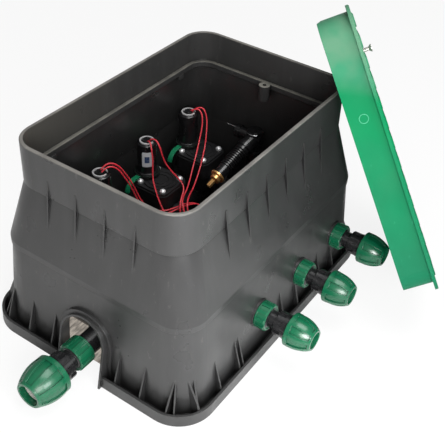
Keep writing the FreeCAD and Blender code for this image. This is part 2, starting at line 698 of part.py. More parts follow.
def fitting_body(label, f, back):
    """The black body: thread, stem, fluted collar and the pipe socket."""
    start = -back - f.back_length
    stem_start = f.ring_length + 0.4
    collar_start = stem_start + f.stem_length
    collar_end = collar_start + f.collar_length
    if label.startswith("outlet"):
        socket = S.pipe_radius + S.thread_clearance
        profile = [(f.body_bore, start + f.back_length), (socket, start + f.back_length),
                   (socket, start), (f.neck_radius, start), (f.neck_radius, -back - S.shoulder),
                   (S.pad_radius, -back - S.shoulder), (S.pad_radius, -back)]
    else:
        profile = [(f.body_bore, start), (f.neck_radius, start)]
    profile += [(f.neck_radius, -back), (f.neck_radius, stem_start - 1.6),
                (f.stem_radius, stem_start), (f.stem_radius, collar_start),
                (f.collar_radius - 1.5, collar_start), (f.collar_radius, collar_start + 1.5),
                (f.collar_radius, collar_end), (f.cone_radius, collar_end),
                (f.cone_radius, f.body_end - 6), (f.socket_radius + 3, f.body_end),
                (f.socket_radius, f.body_end), (f.socket_radius, f.body_end - f.socket_depth),
                (f.body_bore, f.body_end - f.socket_depth)]
    body = turned(label, profile)
    depth = f.collar_radius - 2.6
    flutes(body, label + "_flute", [(depth, collar_start - 1), (f.collar_radius + 3, collar_start - 1),
                                    (f.collar_radius + 3, collar_end - 3), (depth, collar_end - 3)],
           24, 8)
    return body


def compression_nut(label, f):
    """The green domed nut with broad lugs and an open mouth."""
    start, rim = f.nut_start, f.nut_start + f.nut_rim
    outer, mouth, end = f.nut_radius, f.nut_mouth, f.nut_end
    bend = (end - start) * 1.25
    clear = f.cone_radius + 0.06
    inner_turn = f.body_end + 2
    body = turned(label, [(clear, start), (outer - 1, start), (outer, start + 1), (outer, rim, bend),
                          (mouth, end), (f.mouth_bore, end), (f.mouth_bore, f.grip_end),
                          (f.mouth_bore + 3.2, f.grip_end), (clear, inner_turn)])
    groove = f.nut_groove
    flutes(body, label + "_flute",
           [(outer + 4, rim + 1), (outer + 4, end - 3), (mouth - 0.2, end - 3, -bend),
            (outer - groove, rim + 1)], 27, 8)
    return body


def grip_ring(label, f):
    """The split-cone ring that grips the pipe, held in the nut's mouth."""
    low, high = f.body_end + 0.4, f.grip_end - 0.4
    return turned(label, [(f.mouth_bore, low), (f.cone_radius - 2.4, low),
                          (f.cone_radius - 2.4, low + 4), (f.mouth_bore + 2.6, high),
                          (f.mouth_bore, high)])


def gasket(label, f, back):
    """The flat ring between the fitting's shoulder and the wall's pad."""
    return turned(label, [(f.neck_radius + 0.3, -back), (S.pad_radius - 1, -back),
                          (S.pad_radius - 1, S.gasket - back), (f.neck_radius + 0.3, S.gasket - back)])


# ---------------------------------------------------------------- valves

def valve_x(n):
    """Where a valve's axis stands along the box."""
    return S.valve_middle + S.valve_pitch * n


def screw_spots(n):
    """The four screw places of a valve."""
    return [(valve_x(n) + S.screw_x * a, S.valve_y + S.screw_y * b)
            for a in (-1, 1) for b in (-1, 1)]


def valve_body(n):
    """The angle body: inlet below, seat inside, outlet towards the wall."""
    tag, x, y = f"valve{n + 2}", valve_x(n), S.valve_y
    block_part = slab(tag + "_block", S.block_half, S.block_half, S.block_corner,
                      S.block_low + 6, S.joint_z, x, y)
    bowl = cone(tag + "_bowl", S.bowl_radius - 7, S.bowl_radius, S.block_low - S.bowl_low + 7,
                x, y, S.bowl_low)
    web = slab(tag + "_web", S.block_half - 3, S.block_half - 3, S.block_corner - 2,
               S.block_low, S.block_low + 8, x, y)
    outlet = cylinder(tag + "_outlet", S.outlet_neck, y - S.outlet_start, x, y, S.outlet_z, "-Y")
    collar = cylinder(tag + "_outlet_collar", S.outlet_neck + 2.5, 9, x, S.outlet_start + 9,
                      S.outlet_z, "-Y")
    outer = fuse(tag + "_outer", block_part, bowl, web, outlet, collar)
    chamber = cylinder(tag + "_chamber", S.chamber_radius, 60, x, y, S.seat_z - 8)
    throat = cylinder(tag + "_throat", S.inlet_bore + 8, S.seat_z - S.chamber_floor, x, y,
                      S.chamber_floor)
    passage = cylinder(tag + "_passage", S.outlet_bore, y - S.outlet_start + 1, x, y,
                       S.outlet_z, "-Y")
    socket = cylinder(tag + "_socket", S.pipe_radius, 16, x, S.outlet_start + 15,
                      S.outlet_z, "-Y")
    seat = cylinder(tag + "_seat", S.inlet_bore + S.seat_wall, S.seat_z - S.bowl_low, x, y,
                    S.bowl_low)
    bore = cylinder(tag + "_bore", S.inlet_bore, 60, x, y, S.bowl_low - 1)
    holes = [cylinder(f"{tag}_hole_{m}", S.screw_radius + 0.02, 60, u, v, S.screw_reach - 1)
             for m, (u, v) in enumerate(screw_spots(n))]
    hollow = cut(tag + "_hollow", outer, chamber, throat, passage, socket)
    return cut(f"valve_body_{n + 2}", fuse(tag + "_seated", hollow, seat), bore, *holes)


def valve_bonnet(n):
    """The bonnet: control chamber below, round dial and solenoid seat above."""
    tag, x, y = f"bonnet{n + 2}", valve_x(n), S.valve_y
    plate = slab(tag + "_plate", S.block_half, S.block_half, S.block_corner, S.joint_z,
                 S.bonnet_top - 4, x, y)
    top = slab(tag + "_top", S.block_half - 1.5, S.block_half - 1.5, S.block_corner - 1.5,
               S.bonnet_top - 5, S.bonnet_top, x, y)
    dial = cylinder(tag + "_dial", S.dial_radius, S.dial_height, x, y, S.bonnet_top)
    solid = fuse(tag + "_solid", plate, top, dial)
    chamber = cylinder(tag + "_chamber", S.chamber_radius, S.control_top - S.joint_z + 1, x, y,
                       S.joint_z - 1)
    groove_height = 1.6
    rings = []
    for m, radius in enumerate((21, 13)):
        outer = cylinder(f"{tag}_ring_{m}", radius + 1, 9, x, y,
                         S.bonnet_top + S.dial_height - groove_height)
        inner = cylinder(f"{tag}_core_{m}", radius - 1, 9, x, y,
                         S.bonnet_top + S.dial_height - groove_height)
        rings.append(cut(f"{tag}_groove_{m}", outer, inner))
    seat = cylinder(tag + "_coil_seat", S.coil_collar + 0.2, 30, x, S.coil_y, S.bonnet_top)
    pilot = cylinder(tag + "_pilot", S.pilot_radius, 30, x, S.coil_y - 3.5, S.control_top - 1)
    holes = [cylinder(f"{tag}_hole_{m}", S.screw_radius + 0.3, 60, u, v, S.joint_z - 1)
             for m, (u, v) in enumerate(screw_spots(n))]
    faces = [cylinder(f"{tag}_face_{m}", S.screw_head + 0.6, 30, u, v, S.bonnet_top)
             for m, (u, v) in enumerate(screw_spots(n))]
    return cut(f"valve_bonnet_{n + 2}", solid, chamber, *rings, seat, pilot, *holes, *faces)


def bonnet_screws():
    """Every bonnet screw: shank and slotted pan head."""
    screws = []
    for n in VALVES:
        for m, (x, y) in enumerate(screw_spots(n)):
            body = turned(f"screw_{n + 2}_{m}",
                          [(0, 0), (S.screw_radius, 0), (S.screw_radius, S.bonnet_top - S.screw_reach),
                           (S.screw_head, S.bonnet_top - S.screw_reach),
                           (S.screw_head, S.bonnet_top - S.screw_reach + 2.5, 6),
                           (2, S.bonnet_top - S.screw_reach + 5), (2, S.bonnet_top - S.screw_reach + 3),
                           (0, S.bonnet_top - S.screw_reach + 3)])
            screws.append(place(body, x, y, S.screw_reach))
    return group("bonnet_screws", screws)


def diaphragm(n):
    """The rubber diaphragm with its stiff centre and spring seat."""
    low = S.seat_z + S.seat_gap
    outer = S.chamber_radius - S.diaphragm_gap
    body = turned(f"diaphragm_{n + 2}",
                  [(0, 0), (S.inlet_bore + 3, 0), (S.inlet_bore + 4, 1), (outer, 1),
                   (outer, S.diaphragm_thick), (S.spring_radius + 3, S.diaphragm_thick),
                   (S.spring_radius + 2, S.diaphragm_thick + 2),
                   (S.spring_radius + 1, S.diaphragm_thick), (0, S.diaphragm_thick)])
    return place(body, valve_x(n), S.valve_y, low)


def solenoid(n):
    """The moulded coil with its base collar, plunger tube and lead cap."""
    base = S.bonnet_top
    hole = S.plunger_radius + S.plunger_clearance
    rise = S.plunger_hole_top - base
    top = S.coil_top - base
    body = turned(f"solenoid_{n + 2}",
                  [(hole, 0), (S.coil_collar, 0), (S.coil_collar, S.coil_collar_top - base - 1),
                   (S.coil_collar - 1, S.coil_collar_top - base), (S.coil_radius, S.coil_collar_top - base),
                   (S.coil_radius, top - 3, 3), (S.coil_radius - 2.2, top - 0.6),
                   (S.coil_ring_outer + 0.3, top), (S.lead_cap, top),
                   (S.lead_cap - 0.8, S.lead_cap_top - base), (0, S.lead_cap_top - base),
                   (0, rise), (hole, rise)])
    return place(body, valve_x(n), S.coil_y, base)


def solenoid_ring(n):
    """The bright open ring on the solenoid's top."""
    x, low = valve_x(n), S.coil_top
    outer = cylinder(f"coil_ring_outer_{n + 2}", S.coil_ring_outer, S.coil_ring_height, x,
                     S.coil_y, low)
    inner = cylinder(f"coil_ring_inner_{n + 2}", S.coil_ring_inner, 9, x, S.coil_y, low - 1)
    gap = block(f"coil_ring_gap_{n + 2}", 6, 20, 9, x + 2, S.coil_y - 20, low - 1)
    return cut(f"solenoid_ring_{n + 2}", outer, inner, gap)


def plunger(n):
    """The steel plunger that closes the pilot port."""
    radius, top = S.plunger_radius, S.plunger_top - S.plunger_low
    body = turned(f"plunger_{n + 2}", [(0, 0), (radius - 1.5, 0), (radius, 1.5), (radius, top - 1),
                                       (radius - 1, top), (0, top)])
    return place(body, valve_x(n), S.coil_y, S.plunger_low)


def bleed_lever(n):
    """The curved lever on a ring round the solenoid's foot."""
    reach, wide = S.lever_reach, S.lever_wide
    body = turned(f"bleed_lever_{n + 2}",
                  [(S.lever_inner, 0), (S.lever_outer, 0), (S.lever_outer, S.lever_thick),
                   (S.lever_inner, S.lever_thick)])
    start = S.lever_inner + 1
    arm = body.newObject("PartDesign::Pad", f"lever_arm_{n + 2}")
    knee, bend, thick = S.block_half + 2, 20, S.lever_thick
    arm.Profile = outline(body, f"lever_curve_{n + 2}",
                          [(-start, thick), (-start, 0), (-knee, 0.6, bend),
                           (thick - reach, -S.lever_drop), (-reach, -S.lever_drop, -bend - thick),
                           (-knee, thick + 0.6)])
    arm.SideType = "Symmetric"
    bind(arm, Length=wide)
    body.Tip = arm
    return place(body, valve_x(n), S.coil_y, S.lever_low)


# ---------------------------------------------------------------- pipes

def collector():
    """The common pipe under the valves, with a tee neck up to each."""
    y, z, r = S.valve_y, S.collector_z, S.collector_radius
    length = S.collector_start + S.collector_end
    run = cylinder("collector_run", r, length, -S.collector_start, y, z, "+X")
    hollow = cylinder("collector_hollow", S.collector_bore, length + 2, -S.collector_start - 1,
                      y, z, "+X")
    solids, bores = [run], [hollow]
    for n in VALVES:
        x = valve_x(n)
        solids.append(cylinder(f"tee_{n}", S.inlet_neck, S.bowl_low - z, x, y, z))
        solids.append(cylinder(f"tee_nut_{n}", S.tee_radius, S.tee_nut, x, y,
                               S.bowl_low - S.tee_nut))
        solids.append(cylinder(f"tee_sleeve_{n}", S.tee_sleeve, 2 * S.tee_radius + 4,
                               x - S.tee_radius - 2, y, z, "+X"))
        bores.append(cylinder(f"tee_bore_{n}", S.inlet_bore, 60, x, y, z))
    return cut("collector", fuse("collector_solid", *solids), *bores)


def inlet_connector():
    """The inlet pipe: from the inlet fitting, across the box and into the collector."""
    x, y, z = -S.collector_start, S.inlet_y, S.inlet_z
    neck = S.inlet_neck_radius
    face = S.inlet_seat_x - S.inlet_back_length - S.gasket
    stub = cylinder("inlet_stub", neck, face - S.collector_start, -face, y, z, "+X")
    nut = cylinder("inlet_stub_nut", S.elbow_radius, 12, -face + 1, y, z, "+X")
    cross = cylinder("inlet_cross", neck, S.valve_y - y, x, y, z, "+Y")
    elbows = [ball("inlet_elbow_1", S.elbow_radius, x, y, z),
              ball("inlet_elbow_2", S.elbow_radius, x, S.valve_y, z)]
    end = cylinder("inlet_end", S.elbow_radius, 24, x, S.valve_y, z, "+X")
    bore = S.collector_bore
    bores = [cylinder("inlet_bore_1", bore, 60, -face - 1, y, z, "+X"),
             cylinder("inlet_bore_2", bore, S.valve_y - y, x, y, z, "+Y"),
             ball("inlet_bore_3", bore, x, y, z), ball("inlet_bore_4", bore, x, S.valve_y, z),
             cylinder("inlet_bore_5", bore, 40, x, S.valve_y, z, "+X"),
             cylinder("inlet_socket", S.collector_radius + S.thread_clearance, 60, x, S.valve_y, z,
                      "+X")]
    limit = block("inlet_bore_limit", face - S.collector_start + 1, 60, 60, -face - 1, y - 30, z - 30)
    bores[0] = common("inlet_bore_front", bores[0], limit)
    return cut("inlet_connector", fuse("inlet_solid", stub, nut, cross, *elbows, end), *bores)


def outlet_pipes():
    """Three short pipes from the valves to the fittings in the wall."""
    pipes = []
    start = S.outlet_start + 14
    for n in VALVES:
        x = valve_x(n)
        outer = cylinder(f"pipe_outer_{n}", S.pipe_radius, start + S.pipe_end, x, start,
                         S.outlet_z, "-Y")
        inner = cylinder(f"pipe_inner_{n}", S.pipe_bore, start + S.pipe_end + 4, x, start + 2,
                         S.outlet_z, "-Y")
        pipes.append(cut(f"pipe_{n}", outer, inner))
    return group("outlet_pipes", pipes)


def flush_riser():
    """The flush branch's pipe: from the collector's end forwards and up."""
    x, y, z = S.collector_end, S.riser_y, S.collector_z
    r, bore = S.riser_radius, S.riser_bore
    cross = cylinder("riser_cross", r, S.valve_y - y, x, S.valve_y, z, "-Y")
    up = cylinder("riser_up", r, S.riser_top - z, x, y, z)
    top = cylinder("riser_socket", r + 2, 14, x, y, S.riser_top - 14)
    elbow = ball("riser_elbow", r + 3.5, x, y, z)
    joint = ball("riser_joint", S.tee_sleeve, x, S.valve_y, z)
    sleeve = cylinder("riser_sleeve", S.tee_sleeve, 20, x, S.valve_y, z, "-X")
    bores = [cylinder("riser_bore_1", bore, S.valve_y - y, x, S.valve_y, z, "-Y"),
             cylinder("riser_bore_2", bore, 200, x, y, z), ball("riser_bore_3", bore, x, y, z),
             cylinder("riser_seat", S.collector_radius + S.thread_clearance, 60, x, S.valve_y, z, "-X")]
    return cut("flush_riser", fuse("riser_solid", cross, up, top, elbow, joint, sleeve), *bores)


def flush_direction():
    """The way the flush branch falls from its elbow to its brass plug."""
    turn = Rotation(Vector(0, 0, 1), -S.flush_turn.value)
    fall = Rotation(Vector(0, 1, 0), -S.flush_fall.value)
    return turn.multiply(fall).multiply(TURNS["-X"])


def on_branch(piece):
    """Put a piece at the flush elbow with its Z axis along the falling branch."""
    return place(piece, S.collector_end, S.riser_y, S.flush_elbow_z, flush_direction())


def flush_elbow():
    """The swivelling elbow with its side boss."""
    x, y, z = S.collector_end, S.riser_y, S.flush_elbow_z
    knee = ball("flush_knee", S.flush_elbow_radius, x, y, z)
    foot = cylinder("flush_foot", S.riser_radius, z - S.riser_top - 0.3, x, y, S.riser_top + 0.3)
    spigot = cylinder("flush_spigot", S.riser_bore - 0.06, 12, x, y, S.riser_top - 10)
    cap = cylinder("flush_cap", S.flush_cap, 14, x, y, z)
    side = cylinder("flush_side", 9, S.flush_side, x, y, z, "+Y")
    side_cap = cylinder("flush_side_cap", 11.5, 8, x, y + S.flush_side - 8, z, "+Y")
    arm = turned("flush_arm_turned", [(0, 0), (S.nipple_radius, 0), (S.nipple_radius, S.flush_arm - 8),
                                      (S.nipple_radius + 2, S.flush_arm - 8),
                                      (S.nipple_radius + 2, S.flush_arm), (0, S.flush_arm)])
    on_branch(arm)
    core = turned("flush_arm_core", [(0, 0), (8, 0), (8, S.flush_arm + 5), (0, S.flush_arm + 5)])
    on_branch(core)
    drain = cylinder("flush_drain", 7, 60, x, y, z - 60)
    return cut("flush_elbow", fuse("flush_solid", knee, foot, spigot, cap, side, side_cap, arm),
               core, drain)


def flush_nipple():
    """The ribbed nipple between the elbow and the plug."""
    start, r, rib = S.flush_arm, S.nipple_radius, S.rib_depth
    end = start + S.nipple_length
    profile = [(8, start), (r, start), (r, start + 6)]
    for k in range(9):
        low = start + 8 + S.rib_pitch * k
        profile += [(r - rib, low), (r - rib, low + 1.6), (r + 0.6, low + 2.2), (r + 0.6, low + 3.6)]
    low = start + 8 + S.rib_pitch * 9
    profile += [(r - rib, low), (r - rib, end), (8, end)]
    return on_branch(turned("flush_nipple", profile))


def brass_plug():
    """The brass plug: flange, hexagon and square key, with its spigot in the nipple."""
    face = S.flush_arm + S.nipple_length
    flange_end = face + S.plug_flange_thick
    hex_end = flange_end + S.plug_hex_length
    body = turned("brass_plug", [(0, face - 12), (7.94, face - 12), (7.94, face), (S.plug_flange, face),
                                 (S.plug_flange, flange_end - 1), (S.plug_flange - 1, flange_end),
                                 (S.plug_hex, flange_end), (S.plug_hex, hex_end - 1),
                                 (S.plug_hex - 1, hex_end), (0, hex_end)])
    key = body.newObject("PartDesign::Pad", "plug_key")
    k = S.plug_key
    key.Profile = outline(body, "plug_key_section", [(-k, -k), (k, -k), (k, k), (-k, k)], "XY_Plane")
    bind(key, Length=hex_end + S.plug_key_length)
    body.Tip = key
    return on_branch(body)


def bent_wire(name, points, radius):
    """A round wire through points, with tangent arcs at its corners."""
    path, length, radii = rounded_path(points)
    circle = Part.Circle(points[0], points[1] - points[0], radius)
    solid = path.makePipeShell([Part.Wire(circle.toShape())], True, False)
    error = solid.Volume / (math.pi * radius ** 2 * length) - 1
    print(f"{name}: length {length:.0f}, smallest arc {min(radii):.1f}, volume off {error:.4f}")
    return solid


def rounded_path(points):
    """Straight runs joined by tangent arcs, their total length and the arcs' radii."""
    edges, radii, length = [], [], 0.0
    start = points[0]
    for before, corner, after in zip(points, points[1:], points[2:]):
        back, ahead = before - corner, after - corner
        turn = math.pi - back.getAngle(ahead)
        shorter = min(back.Length, ahead.Length)
        reach = 0.45 * shorter
        radii.append(reach / math.tan(turn / 2))
        enter = corner + back.normalize() * reach
        leave = corner + ahead.normalize() * reach
        centre_way = (back + ahead).normalize()
        middle = corner + centre_way * (radii[-1] / math.cos(turn / 2) - radii[-1])
        edges.append(Part.LineSegment(start, enter).toShape())
        edges.append(Part.Arc(enter, middle, leave).toShape())
        start = leave
    edges.append(Part.LineSegment(start, points[-1]).toShape())
    length = sum(edge.Length for edge in edges)
    return Part.Wire(edges), length, radii


def wire_clips():
    """The sprung wire ring round the elbow's cap and the pin in its side boss."""
    x, y, z = S.collector_end, S.riser_y, S.flush_elbow_z
    wire = S.clip_wire
    ring = DOC.addObject("Part::Torus", "clip_ring")
    bind(ring, Radius1=S.flush_cap + wire + 0.02, Radius2=wire, Angle3=290)
    place(ring, x, y, z + 11, Rotation(Vector(0, 0, 1), -65))
    pin = cylinder("clip_pin", wire, 22, x + 2, y + S.flush_side, z + 4, "+Y")
    return group("wire_clips", [ring, pin])


# ---------------------------------------------------------------- leads

# Routes of the leads, from inside each solenoid's cap to their bare ends on the ground.
LEADS = {
    -1: [
        [(-58, 127, 187), (-51, 125, 195), (-40, 119, 197), (-31, 112, 189), (-24, 106, 174),
         (-17, 100, 156), (-11, 96, 137), (-7, 91, 119), (0, 82, 104), (10, 70, 96), (23, 60, 94),
         (40, 53, 94), (58, 47, 94), (74, 40, 88), (86, 26, 68), (96, 8, 40), (101, -14, 15),
         (104, -44, 3), (98, -80, 2), (104, -116, 2)],
        [(-62, 122, 187), (-55, 119, 195), (-45, 113, 196), (-37, 106, 187), (-32, 100, 173),
         (-26, 95, 157), (-21, 91, 140), (-17, 86, 123), (-9, 76, 107), (4, 64, 97), (19, 54, 94),
         (37, 48, 95), (56, 42, 95), (74, 33, 90), (89, 18, 68), (101, -1, 40), (109, -24, 14),
         (112, -56, 3), (107, -94, 2), (112, -130, 2)]],
    0: [
        [(50, 122, 187), (47, 117, 193), (40, 107, 195), (36, 102, 186), (35, 99, 171), (32, 97, 156),
         (28, 94, 141), (22, 85, 129), (16, 74, 117), (12, 62, 104), (9, 51, 94), (4, 38, 74),
         (0, 24, 46), (-5, 4, 18), (-8, -26, 3), (-2, -60, 2), (-9, -96, 2), (-4, -130, 2)],
        [(55, 122, 187), (55, 116, 193), (54, 106, 194), (53, 99, 185), (54, 95, 170), (57, 91, 155),
         (62, 84, 141), (66, 73, 130), (66, 61, 121), (58, 54, 114), (46, 50, 110), (33, 43, 102),
         (24, 32, 82), (20, 16, 50), (20, -4, 20), (16, -34, 3), (21, -70, 2), (14, -104, 2)]],
    1: [
        [(166, 124, 187), (169, 118, 193), (172, 108, 195), (171, 101, 187), (167, 97, 174), (159, 94, 160),
         (148, 90, 148), (130, 82, 136), (112, 75, 125), (92, 66, 116), (74, 58, 110),
         (57, 53, 107), (43, 46, 106), (34, 35, 97), (30, 20, 73), (29, 2, 40), (29, -18, 14),
         (31, -48, 3), (26, -84, 2), (31, -118, 2)],
        [(170, 121, 187), (174, 116, 194), (179, 106, 196), (179, 99, 187), (176, 94, 173), (168, 89, 158),
         (159, 84, 143), (142, 76, 132), (123, 68, 121), (102, 60, 112), (83, 53, 107),
         (67, 48, 106), (52, 42, 105), (40, 33, 98), (36, 20, 77), (36, 2, 46), (38, -20, 16),
         (41, -50, 3), (36, -86, 2), (42, -120, 2)]],
}


def leads(n):
    """The two red leads of one solenoid, from its cap to their bare ends."""
    solids = []
    for m, route in enumerate(LEADS[n]):
        solids.append(bent_wire(f"lead_{n + 2}_{m}", [Vector(*p) for p in route], S.lead_radius.value))
    piece = DOC.addObject("Part::Feature", f"leads_{n + 2}")
    piece.Shape = Part.makeCompound(solids)
    return piece


# ---------------------------------------------------------------- assembly

def build():
    """Make every sub-part and return them by name."""
    inlet, outlet = Fitting("inlet"), Fitting("outlet")
    back = S.pad_outer - S.pad_inner + 0.2 + S.gasket
    made = [valve_box(), lid(), lid_bolt(), lid_bolt_clip(),
            set_fitting(ring_nut("inlet_ring_nut", inlet), "inlet"),
            set_fitting(fitting_body("inlet_body", inlet, size(0)), "inlet"),
            set_fitting(compression_nut("inlet_nut", inlet), "inlet"),
            set_fitting(grip_ring("inlet_grip_ring", inlet), "inlet"),
            collector(), inlet_connector(), outlet_pipes(), flush_riser(), flush_elbow(),
            flush_nipple(), brass_plug(), wire_clips(), bonnet_screws()]
    seal = turned("inlet_seal", [(inlet.body_bore, -inlet.back_length - S.gasket),
                                 (inlet.neck_radius, -inlet.back_length - S.gasket),
                                 (inlet.neck_radius, -inlet.back_length),
                                 (inlet.body_bore, -inlet.back_length)])
    made.append(set_fitting(seal, "inlet"))
    seals, grips = [], []
    for n in VALVES:
        number = n + 2
        made.append(set_fitting(ring_nut(f"outlet_ring_nut_{number}", outlet), "outlet", n))
        made.append(set_fitting(fitting_body(f"outlet_body_{number}", outlet, back), "outlet", n))
        made.append(set_fitting(compression_nut(f"outlet_nut_{number}", outlet), "outlet", n))
        seals.append(set_fitting(gasket(f"seal_{number}", outlet, back), "outlet", n))
        grips.append(set_fitting(grip_ring(f"grip_{number}", outlet), "outlet", n))
        made += [valve_body(n), valve_bonnet(n), diaphragm(n), solenoid(n), solenoid_ring(n),
                 plunger(n), bleed_lever(n)]
        made.append(coil_spring(f"diaphragm_spring_{number}", S.spring_radius, S.spring_wire,
                                S.seat_z + S.seat_gap + S.diaphragm_thick + 0.1,
                                S.control_top - 0.1, S.spring_turns, valve_x(n), S.valve_y))
        made.append(coil_spring(f"plunger_spring_{number}", S.plunger_spring_radius,
                                S.plunger_spring_wire, S.plunger_top + 0.1,
                                S.plunger_hole_top - 0.1, S.spring_turns, valve_x(n), S.coil_y))
        if n in LEADS:
            made.append(leads(n))
    made += [group("outlet_seals", seals), group("outlet_grip_rings", grips)]
    return {piece.Label: piece for piece in made}


def write(pieces):
    """Check the document and write each sub-part to its own file."""
    DOC.recompute()
    for thing in DOC.Objects:
        if "Invalid" in thing.State or "Error" in thing.State:
            raise RuntimeError(f"{thing.Label} failed: {thing.State}")
    os.makedirs("parts", exist_ok=True)
    for label, piece in pieces.items():
        shape = piece.Shape
        if shape.isNull() or not shape.isValid() or not shape.Solids:
            raise RuntimeError(f"{label} has no valid solid")
        shape.exportStep(f"parts/{label}.step")
        print(f"{label}: {len(shape.Solids)} solid(s), {shape.Volume / 1000:.1f} cm3")


write(build())
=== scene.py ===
"""An irrigation valve box with its lid leaning beside it, three valves inside and their pipe fittings."""
import math

import bpy
from mathutils import Matrix, Vector


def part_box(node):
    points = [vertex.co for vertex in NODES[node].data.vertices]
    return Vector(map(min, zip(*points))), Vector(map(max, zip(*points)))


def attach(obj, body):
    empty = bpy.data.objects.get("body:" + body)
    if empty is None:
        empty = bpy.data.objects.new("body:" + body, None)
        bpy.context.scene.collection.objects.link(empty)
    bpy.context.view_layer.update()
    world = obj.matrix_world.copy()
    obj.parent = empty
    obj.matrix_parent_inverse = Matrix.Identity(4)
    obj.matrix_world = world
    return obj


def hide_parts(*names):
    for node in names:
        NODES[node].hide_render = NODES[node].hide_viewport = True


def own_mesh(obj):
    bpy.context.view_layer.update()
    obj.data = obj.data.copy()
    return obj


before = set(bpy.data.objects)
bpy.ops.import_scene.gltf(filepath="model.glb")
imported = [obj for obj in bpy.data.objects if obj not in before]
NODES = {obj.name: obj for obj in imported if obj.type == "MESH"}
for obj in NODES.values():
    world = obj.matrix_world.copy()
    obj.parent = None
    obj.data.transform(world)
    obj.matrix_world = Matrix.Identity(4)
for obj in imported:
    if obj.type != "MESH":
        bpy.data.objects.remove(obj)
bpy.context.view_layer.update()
ROOT = "box"
MM = 0.001


# ---------------------------------------------------------------- camera

AZIMUTH, ELEVATION, ROLL = math.radians(-57.43), math.radians(38.71), math.radians(3.4)
CAMERA_PLACE = Vector((-0.7893, -0.5649, 0.9065))
back = Vector((math.sin(AZIMUTH) * math.cos(ELEVATION), -math.cos(AZIMUTH) * math.cos(ELEVATION),
               math.sin(ELEVATION)))
level = Vector((math.cos(AZIMUTH), math.sin(AZIMUTH), 0))
upright = back.cross(level)
right = level * math.cos(ROLL) + upright * math.sin(ROLL)
up = upright * math.cos(ROLL) - level * math.sin(ROLL)
camera = bpy.data.objects.new("camera", bpy.data.cameras.new("camera"))
bpy.context.scene.collection.objects.link(camera)
camera.data.lens = 65.33
camera.data.sensor_width = 36
camera.data.clip_start, camera.data.clip_end = 0.01, 60
camera.matrix_world = Matrix((
    (right.x, up.x, back.x, CAMERA_PLACE.x),
    (right.y, up.y, back.y, CAMERA_PLACE.y),
    (right.z, up.z, back.z, CAMERA_PLACE.z),
    (0, 0, 0, 1)))
bpy.context.scene.camera = camera


# ---------------------------------------------------------------- leads

LEAD_DIAMETER = 0.0026
LEADS = {
    1: [
        (0.420, [
            (-58, 127, 187), (-51, 125, 195), (-40, 119, 197), (-31, 112, 189), (-24, 106, 174),
            (-17, 100, 156), (-11, 96, 137), (-7, 91, 119), (0, 82, 104), (10, 70, 96), (23, 60, 94),
            (40, 53, 94), (58, 47, 94), (74, 40, 88), (86, 26, 68), (96, 8, 40), (101, -14, 15),
            (104, -44, 3), (98, -80, 2), (104, -116, 2)]),
        (0.432, [
            (-62, 122, 187), (-55, 119, 195), (-45, 113, 196), (-37, 106, 187), (-32, 100, 173),
            (-26, 95, 157), (-21, 91, 140), (-17, 86, 123), (-9, 76, 107), (4, 64, 97), (19, 54, 94),
            (37, 48, 95), (56, 42, 95), (74, 33, 90), (89, 18, 68), (101, -1, 40), (109, -24, 14),
            (112, -56, 3), (107, -94, 2), (112, -130, 2)]),
    ],
    2: [
        (0.371, [
            (50, 122, 187), (47, 117, 193), (40, 107, 195), (36, 102, 186), (35, 99, 171), (32, 97, 156),
            (28, 94, 141), (22, 85, 129), (16, 74, 117), (12, 62, 104), (9, 51, 94), (4, 38, 74),
            (0, 24, 46), (-5, 4, 18), (-8, -26, 3), (-2, -60, 2), (-9, -96, 2), (-4, -130, 2)]),
        (0.350, [
            (55, 122, 187), (55, 116, 193), (54, 106, 194), (53, 99, 185), (54, 95, 170), (57, 91, 155),
            (62, 84, 141), (66, 73, 130), (66, 61, 121), (58, 54, 114), (46, 50, 110), (33, 43, 102),
            (24, 32, 82), (20, 16, 50), (20, -4, 20), (16, -34, 3), (21, -70, 2), (14, -104, 2)]),
    ],
    3: [
        (0.415, [
            (166, 124, 187), (169, 118, 193), (172, 108, 195), (171, 101, 187), (167, 97, 174),
            (159, 94, 160), (148, 90, 148), (130, 82, 136), (112, 75, 125), (92, 66, 116), (74, 58, 110),
            (57, 53, 107), (43, 46, 106), (34, 35, 97), (30, 20, 73), (29, 2, 40), (29, -18, 14),
            (31, -48, 3), (26, -84, 2), (31, -118, 2)]),
        (0.420, [
            (170, 121, 187), (174, 116, 194), (179, 106, 196), (179, 99, 187), (176, 94, 173),
            (168, 89, 158), (159, 84, 143), (142, 76, 132), (123, 68, 121), (102, 60, 112), (83, 53, 107),
            (67, 48, 106), (52, 42, 105), (40, 33, 98), (36, 20, 77), (36, 2, 46), (38, -20, 16),
            (41, -50, 3), (36, -86, 2), (42, -120, 2)]),
    ],
}


def lead(name, points):
    """One lead along its route."""
    curve = bpy.data.curves.new(name, "CURVE")
    curve.dimensions = "3D"
    spline = curve.splines.new("NURBS")
    spline.points.add(len(points) - 1)
    for place, point in zip(spline.points, points):
        place.co = (point[0] * MM, point[1] * MM, point[2] * MM, 1)
        place.radius = LEAD_DIAMETER / 2
    spline.order_u = 3
    spline.use_endpoint_u = True
    curve.resolution_u = 8
    curve.bevel_depth = 1.0  # times each point's radius
    curve.bevel_resolution = 4
    curve.use_fill_caps = True
    piece = bpy.data.objects.new(name, curve)
    bpy.context.scene.collection.objects.link(piece)
    return piece


leads = []
for valve, pair in LEADS.items():
    for strand, (length, route) in enumerate(pair):
        piece = lead(f"lead_{valve}_{strand}", route)
        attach(piece, ROOT)
        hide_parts(f"leads_{valve}")
        leads.append(piece)


# ---------------------------------------------------------------- materials

